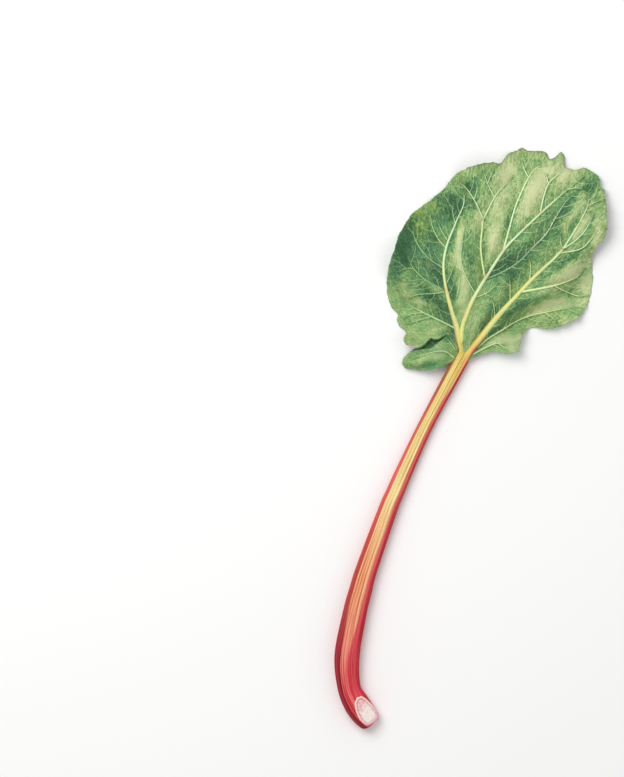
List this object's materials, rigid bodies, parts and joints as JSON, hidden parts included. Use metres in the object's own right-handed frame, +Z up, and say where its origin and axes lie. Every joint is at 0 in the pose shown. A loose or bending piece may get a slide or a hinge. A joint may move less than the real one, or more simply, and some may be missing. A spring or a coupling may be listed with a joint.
{
  "type": "rhubarb stalk",
  "caption": "Rhubarb leaf as pulled: a ribbed crimson stalk with a slanting cut at its hooked foot, carrying a broad, wavy blue-green blade, lying on its back.",
  "frame": {"origin": "on the surface it lies on, under the middle of the whole leaf's box", "axes": "+Y from the foot of the stalk to the far margin of the blade, +X to the right seen from above, +Z up, off the blade's upper side"},
  "size_m": [0.2176, 0.4647, 0.0199],
  "materials": {
    "stalk_skin": "smooth crimson skin with yellow-green ribs, soft sheen",
    "leaf_green": "matte blue-green leaf with pale veins",
    "rib_yellow": "smooth yellow-green ribs and veins, flushed with red near the stalk",
    "cut_flesh": "moist pale pink cut flesh"
  },
  "bodies": {
    "root": {"petiole": "stalk_skin", "leaf_blade": "leaf_green"}
  },
  "joints": []
}
